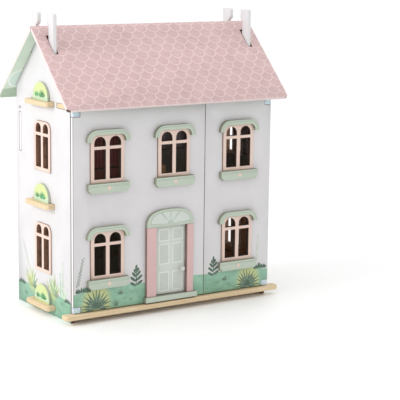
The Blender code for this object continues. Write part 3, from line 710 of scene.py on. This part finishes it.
def build_fittings(paints):
    """Window pieces, door, trim, keys and hardware."""
    for node in sorted(frame["nodes"]):
        if node.endswith("_window_frame"):
            on_side = node.startswith(("left_", "right_"))
            rim = paints["pale_peach_edge" if on_side else "peach_edge"]
            # Side windows take the lit copy of the pane edges and front windows the shaded copy: painted
            # light and painted shade
            reveal = paints["lit_reveal" if on_side else "reveal"]
            finished(node, [paints["peach"], paints["peach"], rim, reveal],
                     frame_faces(node, on_side))
        elif node.endswith(("_window_hood", "_window_sill")) or node in ("fanlight", "door_step"):
            faced(node, paints["sage"], paints["sage_edge"], (0, 1, 0))
        elif node.endswith("_pilaster"):
            faced(node, paints["pink"], paints["pink_edge"], (0, 1, 0))
        elif node.endswith("_key"):
            faced(node, paints["key"], paints["key_edge"], (1, 0, 0))
        elif node.endswith("_pivot_block"):
            finished(node, [paints["plastic"]])
        elif node.endswith(("_screw", "_pin")):
            finished(node, [paints["zinc"]], arris=HARDWARE_ARRIS)
    faced("front_door", paints["door"], paints["door_edge"], (0, 1, 0))


def door_knob(paint):
    """Turned knob with a rosette, a waist and a domed crown."""
    low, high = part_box("door_knob")
    radius = (high.x - low.x) / 2
    reach = high.y - low.y
    middle = Vector(((low.x + high.x) / 2, high.y, (low.z + high.z) / 2))
    # Rings as shares of the radius and of the reach: the rosette and waist, then the ball and the crown.
    profile = [(0.62, 0), (0.66, 0.04), (0.64, 0.09), (0.45, 0.13), (0.4, 0.22), (0.45, 0.3)]
    ball = 0.38
    for degrees in range(-48, 73, 15):
        angle = math.radians(degrees)
        profile.append((math.cos(angle), 1 - ball + ball * math.sin(angle)))
    profile.append((0.25, 1.0))
    mesh = bmesh.new()
    sides = 32
    rings = []
    for out, along in profile:
        ring = []
        for step in range(sides):
            angle = 2 * math.pi * step / sides
            across = Vector((math.cos(angle), 0, math.sin(angle))) * radius * out
            ring.append(mesh.verts.new(middle + across - Vector((0, reach * along, 0))))
        rings.append(ring)
    for first, second in zip(rings, rings[1:]):
        for step in range(sides):
            after = (step + 1) % sides
            mesh.faces.new((first[step], first[after], second[after], second[step]))
    mesh.faces.new(rings[0])
    mesh.faces.new(rings[-1])
    bmesh.ops.recalc_face_normals(mesh, faces=mesh.faces)
    for face in mesh.faces:
        face.smooth = True
    piece = link("door_knob_turned", mesh, [paint])
    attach(piece, "front_door")
    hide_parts("door_knob")


# Printed shapes -------------------------------------------------------------

class Print:
    """Flat shapes on one face of a board: thin closed prisms, each a hair above the one before."""

    def __init__(self, name, body, origin, across, outward, inks):
        self.name = name
        self.body = body
        self.origin, self.across, self.outward = Vector(origin), Vector(across), Vector(outward)
        self.inks = inks
        self.mesh = bmesh.new()
        self.top = LIFT + INK

    def shape(self, points, colour):
        """Add an outline given as (across, up) points."""
        def ring(height):
            lift = self.outward * height
            return [self.mesh.verts.new(self.origin + self.across * across + Vector((0, 0, up)) + lift)
                    for across, up in points]
        low, high = ring(LIFT), ring(self.top)
        self.top += STACK
        index = list(self.inks).index(colour)
        count = len(points)
        faces = [self.mesh.faces.new(low), self.mesh.faces.new(high)]
        for step in range(count):
            after = (step + 1) % count
            faces.append(self.mesh.faces.new((low[step], low[after], high[after], high[step])))
        for face in faces:
            face.material_index = index

    def done(self):
        """Make the page's object."""
        bmesh.ops.recalc_face_normals(self.mesh, faces=self.mesh.faces)
        piece = link(self.name, self.mesh, list(self.inks.values()))
        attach(piece, self.body)


def front_page(name, body, depth, inks):
    """Page on a face that looks to the front."""
    return Print(name, body, (0, depth, 0), (1, 0, 0), (0, -1, 0), inks)


def side_page(name, side, reach, inks):
    """Page on a face of the house body that looks to the left (-1) or right (1)."""
    return Print(name, "house_body", (reach, 0, 0), (0, side, 0), (side, 0, 0), inks)


def oval(centre, width, height, steps=12, tilt=0.0):
    """Outline of an ellipse, tilted clockwise."""
    points = []
    for step in range(steps):
        angle = 2 * math.pi * step / steps
        a, b = width / 2 * math.sin(angle), height / 2 * math.cos(angle)
        points.append((centre[0] + a * math.cos(tilt) + b * math.sin(tilt),
                       centre[1] - a * math.sin(tilt) + b * math.cos(tilt)))
    return points


def box(low, high):
    """Outline of a rectangle."""
    return [low, (high[0], low[1]), high, (low[0], high[1])]


def leaf(base, angle, length, width, bend=0.0, fullness=0.65):
    """Outline of a pointed leaf. angle is clockwise from upright, and bend turns its tip further."""
    steps = 5
    left, right = [], []
    for step in range(1, steps):
        share = step / steps
        turn = angle + bend * share / 2
        middle = (base[0] + length * share * math.sin(turn), base[1] + length * share * math.cos(turn))
        half = width / 2 * math.sin(math.pi * share ** fullness)
        side = angle + bend * share
        left.append((middle[0] - half * math.cos(side), middle[1] + half * math.sin(side)))
        right.append((middle[0] + half * math.cos(side), middle[1] - half * math.sin(side)))
    turn = angle + bend / 2
    tip = (base[0] + length * math.sin(turn), base[1] + length * math.cos(turn))
    return [base, *left, tip, *reversed(right)]


def agave(page, centre, size, luck):
    """Fan of long narrow leaves, row upon row, over a dense heart."""
    page.shape(oval((centre[0], centre[1] + size * 0.12), size * 0.6, size * 0.42), "grey")
    rows = ((15, 1.0, 100, "dark"), (11, 0.74, 84, "grey"), (8, 0.5, 68, "dark"))
    for count, reach, spread, colour in rows:
        for step in range(count):
            share = step / (count - 1) * 2 - 1
            angle = math.radians(share * spread + luck.uniform(-3, 3))
            length = size * reach * (1 - 0.16 * abs(share)) * luck.uniform(0.92, 1.05)
            page.shape(leaf(centre, angle, length, size * 0.125, angle * 0.12, 0.5), colour)


def tuft(page, centre, size, luck):
    """Low dark clump of short broad leaves."""
    for step in range(9):
        share = step / 4 - 1
        base = (centre[0] + share * size * 0.55, centre[1])
        angle = math.radians(share * 42 + luck.uniform(-10, 10))
        height = size * (0.62 - 0.25 * share * share) * luck.uniform(0.85, 1.1)
        page.shape(leaf(base, angle, height, size * 0.24, 0.0, 0.8), "dark")


def sprig(page, base, top, colour, leaves=9, size=11 * MM):
    """Slender stem with small slanting leaves along it, left and right in turn."""
    lean = math.atan2(top[0] - base[0], top[1] - base[1])
    length = math.hypot(top[0] - base[0], top[1] - base[1])
    page.shape(leaf(base, lean, length, 1.0 * MM, 0.0, 0.9), colour)
    for step in range(leaves * 2):
        share = (step + 1) / (leaves * 2 + 1)
        side = 1 if step % 2 else -1
        spot = (base[0] + (top[0] - base[0]) * share + side * 0.8 * MM, base[1] + (top[1] - base[1]) * share)
        page.shape(leaf(spot, lean + side * math.radians(24), size * (1.05 - 0.45 * share), 2 * MM), colour)


def lobed_plant(page, base, height):
    """Upright plant with pairs of long rounded lobes that slant upwards, and one lobe at its tip."""
    page.shape(leaf(base, 0.0, height * 0.9, 3.2 * MM, 0.0, 0.9), "dark")
    for share, reach in ((0.04, 0.38), (0.24, 0.4), (0.45, 0.33), (0.64, 0.23)):
        for side in (-1, 1):
            tilt = side * math.radians(62 - 40 * share)
            stem = (base[0], base[1] + height * (share + 0.02 * side))
            out = height * reach / 2
            middle = (stem[0] + out * math.sin(tilt), stem[1] + out * math.cos(tilt))
            page.shape(oval(middle, height * 0.135, height * reach, 14, tilt), "dark")
            page.shape(leaf(stem, tilt, height * reach * 0.8, 1.0 * MM), "grey")
    page.shape(oval((base[0], base[1] + height * 0.86), height * 0.13, height * 0.3, 14), "dark")


def grass(page, centre, height, blades, spread, colours, luck, width=2.4 * MM):
    """Fan of thin blades."""
    for step in range(blades):
        share = step / (blades - 1) * 2 - 1
        angle = math.radians(share * spread + luck.uniform(-5, 5))
        length = height * (1 - 0.25 * abs(share)) * luck.uniform(0.75, 1.08)
        base = (centre[0] + share * height * 0.1, centre[1])
        page.shape(leaf(base, angle, length, width, angle * 0.25), colours[step % len(colours)])


def meadow(page, low, high, up, luck, count):
    """Scattered short strokes of grass."""
    for _ in range(count):
        spot = luck.uniform(low, high)
        rise = luck.uniform(*up)
        for turn in (-0.35, 0.0, 0.35):
            page.shape(leaf((spot + turn * 7 * MM, rise), turn, 10 * MM, 1.3 * MM), "grey")


def front_gardens(inks):
    """Plants printed along the foot of the two front panels, placed by (across, up)."""
    for body, place in (("left_front", -1), ("right_front", 1)):
        luck = random.Random(7 + place)
        page = front_page(body + "_garden", body, FRONT, inks)
        if place < 0:
            agave(page, (-0.2345, 0.0345), 0.053, luck)
            tuft(page, (-0.272, 0.0775), 0.028, luck)
            sprig(page, (-0.290, 0.088), (-0.271, 0.168), "grey")
            lobed_plant(page, (-0.117, 0.076), 0.056)
            grass(page, (-0.164, 0.060), 0.02, 7, 42, ("dark", "grey"), luck, 1.7 * MM)
            grass(page, (-0.178, 0.031), 0.023, 7, 26, ("dark", "grey"), luck, 1.7 * MM)
            meadow(page, -0.185, -0.1, (0.032, 0.06), luck, 5)
        else:
            lobed_plant(page, (0.1215, 0.0735), 0.053)
            agave(page, (0.2325, 0.0335), 0.05, luck)
            tuft(page, (0.2745, 0.0755), 0.027, luck)
            sprig(page, (0.262, 0.092), (0.2655, 0.168), "faint")
            grass(page, (0.158, 0.056), 0.017, 7, 44, ("dark", "grey"), luck, 1.7 * MM)
            meadow(page, 0.1, 0.19, (0.034, 0.062), luck, 5)
        page.done()


def side_gardens(inks):
    """Plants printed along the foot of the side walls."""
    for side, name in ((-1, "left"), (1, "right")):
        luck = random.Random(21 + side)
        page = side_page(name + "_wall_garden", side, side * HALF_WIDTH, inks)
        for centre, height in (((-0.068, 0.052), 0.06), ((0.055, 0.054), 0.062)):
            grass(page, centre, height, 23, 50, ("lime", "grey", "lime", "mint"), luck, 4.2 * MM)
        grass(page, (0.068, 0.05), 0.026, 9, 60, ("grey",), luck)
        grass(page, (-0.05, 0.05), 0.024, 9, 60, ("grey",), luck)
        grass(page, (0.108, 0.052), 0.05, 9, 30, ("mint", "faint"), luck)
        sprig(page, (0.105, 0.06), (0.102, 0.15), "faint", 9)
        tuft(page, (-0.122, 0.049), 0.024, luck)
        tuft(page, (0.126, 0.048), 0.02, luck)
        sprig(page, (-0.078, 0.096), (-0.114, 0.168), "faint", 12, 6 * MM)
        sprig(page, (0.092, 0.055), (0.088, 0.118), "mint", 8)
        meadow(page, -0.12, 0.12, (0.012, 0.036), luck, 8)
        page.done()


def door_panelling(inks):
    """Six panels on the door, each a pale line round a darker field."""
    low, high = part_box("front_door")
    centre = (low.x + high.x) / 2 + 3 * MM
    line, spread, half_width = DOOR_LINE_WIDTH, 20.5 * MM, 15.7 * MM
    rows = ((0.052, 0.103), (0.1235, 0.177), (0.1845, 0.216))
    page = front_page("door_panelling", "front_door", low.y, inks)
    for middle in (centre - spread, centre + spread):
        left, right = middle - half_width, middle + half_width
        for bottom, top in rows:
            page.shape(box((left, bottom), (right, top)), "line")
            page.shape(box((left + line, bottom + line), (right - line, top - line)), "field")
    page.done()


def fan_pane(centre, base, size, start, end, grow=0.0):
    """Outline of one pane of the fanlight: the part of a broad arch between two angles in degrees."""
    steps = 8
    power = FAN_SQUARENESS
    outer, inner = [], []
    for step in range(steps + 1):
        angle = math.radians(start + (end - start) * step / steps)
        a, b = math.cos(angle), math.sin(angle)
        reach = ((abs(a) / (size[0] + grow)) ** power + (abs(b) / (size[1] + grow)) ** power) ** (-1 / power)
        outer.append((centre + reach * a, base + reach * b))
        inner.append((centre + (FAN_HUB - grow) * a, base + (FAN_HUB - grow) * b))
    return [*outer, *reversed(inner)]


def fanlight_glazing(inks):
    """Four pale panes with darker outlines on the fanlight."""
    low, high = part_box("fanlight")
    centre = (low.x + high.x) / 2
    base = low.z + FAN_BASE
    size = ((high.x - low.x) / 2 - FAN_MARGIN[0], high.z - base - FAN_MARGIN[1])
    page = front_page("fanlight_glazing", "left_front", low.y, inks)
    for start, end in ((3, 44), (49, 87), (93, 131), (136, 177)):
        page.shape(fan_pane(centre, base, size, start - 1.5, end + 1.5, 1.1 * MM), "sage_line")
        page.shape(fan_pane(centre, base, size, start, end), "pane")
    page.done()


def hood_groove(low, high):
    """Line that follows a window hood, a little in from its outer edge."""
    centre, half = (low.x + high.x) / 2, (high.x - low.x) / 2
    outer, inner = [], []
    for inset, side in zip(GROOVE, (outer, inner)):
        radius = HOOD_CORNER - inset
        edge = half - inset
        side.append((centre + edge, low.z + 1 * MM))
        for start, sign in ((0, 1), (90, -1)):
            for step in range(9):
                angle = math.radians(start + 90 * step / 8)
                side.append((centre + sign * (edge - radius) + radius * math.cos(angle),
                             high.z - inset - radius + radius * math.sin(angle)))
        side.append((centre - edge, low.z + 1 * MM))
    return [*outer, *reversed(inner)]


def flower(page, centre):
    """Five petals round a cream heart."""
    for petal in range(5):
        angle = 2 * math.pi * petal / 5
        spot = (centre[0] + 3.2 * MM * math.sin(angle), centre[1] + 3.2 * MM * math.cos(angle))
        page.shape(oval(spot, 4.6 * MM, 5.4 * MM, 10, angle), "petal")
    page.shape(oval(centre, 3.2 * MM, 3.2 * MM, 10), "cream")


def window_prints(inks):
    """Grooves printed on the hoods and sills, and a small flower in the middle of each sill."""
    for body in ("left_front", "right_front"):
        sills = [node for node in sorted(frame["nodes"]) if node.endswith("_window_sill")
                 and frame["nodes"][node]["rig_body"] == body]
        hoods = [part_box(node.replace("_sill", "_hood")) for node in sills]
        page = front_page(body + "_window_grooves", body, hoods[0][0].y, inks)
        for low, high in hoods:
            page.shape(hood_groove(low, high), "sage_line")
        page.done()
        page = front_page(body + "_sill_flowers", body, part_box(sills[0])[0].y, inks)
        for node in sills:
            low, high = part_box(node)
            left, right = low.x + 1 * MM, high.x - 1 * MM
            for drop in (5 * MM, 8 * MM):
                bottom = high.z - drop
                page.shape(box((left, bottom), (right, bottom + SILL_LINE)), "sage_line")
            flower(page, ((low.x + high.x) / 2, (low.z + high.z) / 2))
        page.done()


def bunch(page, centre, leaves, height, spread):
    """Short leaves side by side, the outer ones lower and leaning outwards."""
    for step in range(leaves):
        share = step / (leaves - 1) * 2 - 1
        base = (centre[0] + share * 4 * MM, centre[1])
        page.shape(leaf(base, math.radians(share * spread), height * (1 - 0.2 * abs(share)),
                        5 * MM, 0.0, 0.8), "key_leaf")


def key_prints(inks):
    """Two bunches of leaves on each face of a key that shows."""
    for side, name in ((-1, "left"), (1, "right")):
        low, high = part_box(name + "_base_key")
        page = side_page(name + "_key_leaves", side, high.x if side > 0 else low.x, inks)
        for floor in ("base_board", "middle_floor", "attic_floor"):
            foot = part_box(floor)[1].z + 8 * MM
            bunch(page, (-0.019, foot), 4, 0.017, 26)
            bunch(page, (0.009, foot), 8, 0.021, 66)
        page.done()


# Stage ----------------------------------------------------------------------

def add_camera():
    """Camera a little to the left and above, rolled slightly."""
    level = math.cos(CAMERA_ELEVATION)
    back = Vector((math.sin(CAMERA_AZIMUTH) * level, -math.cos(CAMERA_AZIMUTH) * level,
                   math.sin(CAMERA_ELEVATION)))
    right = Vector((0, 0, 1)).cross(back).normalized()
    up = back.cross(right)
    turned_right = right * math.cos(CAMERA_ROLL) + up * math.sin(CAMERA_ROLL)
    turned_up = up * math.cos(CAMERA_ROLL) - right * math.sin(CAMERA_ROLL)
    data = bpy.data.cameras.new("camera")
    data.lens = CAMERA_LENS
    camera = bpy.data.objects.new("camera", data)
    turn = Matrix((turned_right, turned_up, back)).transposed().to_4x4()
    camera.matrix_world = Matrix.Translation(CAMERA_AIM + back * CAMERA_DISTANCE) @ turn
    bpy.context.scene.collection.objects.link(camera)
    bpy.context.scene.camera = camera


def add_key_light():
    """Square soft box to the left that looks at the house."""
    data = bpy.data.lights.new("key", "AREA")
    data.size = LIGHT_SIZE
    data.energy = LIGHT_WATTS
    lamp = bpy.data.objects.new("key", data)
    lamp.location = LIGHT_PLACE
    lamp.rotation_euler = (LIGHT_PLACE - LIGHT_AIM).to_track_quat("Z", "Y").to_euler()
    bpy.context.scene.collection.objects.link(lamp)


def add_stage():
    """Pale floor and white surroundings."""
    world = bpy.data.worlds.new("studio")
    world.use_nodes = True
    world.node_tree.nodes["Background"].inputs["Color"].default_value = (1, 1, 1, 1)
    world.node_tree.nodes["Background"].inputs["Strength"].default_value = SURROUNDINGS
    bpy.context.scene.world = world
    bpy.context.scene.view_settings.view_transform = "Standard"
    mesh = bmesh.new()
    bmesh.ops.create_grid(mesh, x_segments=8, y_segments=8, size=FLOOR_REACH)
    floor = link("floor", mesh, [ink("floor_paper", FLOOR_WHITE)])


def make_paints():
    """Materials of the boards and the hardware, by name."""
    return {
        "white": plain_paint("white_edge", WHITE_EDGE),
        "brown": brown_edge("browned_edge", MDF_BROWN),
        "wall_arris": brown_edge("wall_arris", MDF_BROWN, RIDGE - PRONG_FOOT),
        # Pane edges as a shaded copy and a lit copy of the browned edge: painted shade and painted light
        "reveal": brown_edge("shaded_pane_reveal", SHADED_REVEAL),
        "lit_reveal": brown_edge("lit_pane_reveal", LIT_REVEAL),
        "front_print": front_print(),
        "side_print": side_print(),
        "fish_scales": fish_scales(),
        "roof_edge": plain_paint("roof_edge", ROOF_EDGE),
        "peach": plain_paint("peach", PEACH),
        "peach_edge": plain_paint("peach_edge", PEACH_EDGE),
        "pale_peach_edge": plain_paint("pale_peach_edge", PALE_PEACH_EDGE),
        "sage": plain_paint("sage", SAGE),
        "sage_edge": plain_paint("sage_edge", SAGE_EDGE),
        "pink": plain_paint("pink", PINK),
        "pink_edge": plain_paint("pink_edge", PINK_EDGE),
        "door": plain_paint("door_green", DOOR),
        "door_edge": plain_paint("door_edge", DOOR_EDGE),
        "ply": wood("plywood", *PLY),
        "ply_edge": wood("plywood_edge", *PLY, plies=2.4 * MM),
        "stair": wood("stair_wood", *STAIR),
        "stair_edge": wood("stair_side", *STAIR_SIDE),
        "key": key_print(),
        "key_edge": plain_paint("key_edge", KEY_EDGE),
        "plastic": pivot_plastic(),
        "zinc": zinc(),
    }


def make_inks():
    """Printing colours by name."""
    return {
        "dark": leaf_paint("leaf_dark", *LEAF_DARK),
        "grey": leaf_paint("leaf_grey", *LEAF_GREY),
        "lime": leaf_paint("leaf_lime", *LEAF_LIME),
        "mint": leaf_paint("leaf_mint", *LEAF_MINT),
        "faint": leaf_paint("leaf_faint", *LEAF_FAINT),
        "key_leaf": leaf_paint("leaf_key", *KEY_LEAF),
        "line": ink("door_line", DOOR_LINE),
        "field": ink("door_field", DOOR_FIELD),
        "sage_line": ink("sage_line", SAGE_LINE),
        "pane": ink("fanlight_pane", PANE),
        "petal": ink("petal", PETAL),
        "cream": ink("cream", CREAM),
    }


def pick(inks, *names):
    """The named inks, in that order."""
    return {name: inks[name] for name in names}


add_camera()
add_stage()
add_key_light()
board_paints = make_paints()
build_boards(board_paints)
build_fittings(board_paints)
door_knob(board_paints["door"])
all_inks = make_inks()
front_gardens(pick(all_inks, "dark", "grey", "faint"))
side_gardens(pick(all_inks, "dark", "grey", "lime", "mint", "faint"))
door_panelling(pick(all_inks, "line", "field"))
fanlight_glazing(pick(all_inks, "pane", "sage_line"))
window_prints(pick(all_inks, "sage_line", "petal", "cream"))
key_prints(pick(all_inks, "key_leaf"))
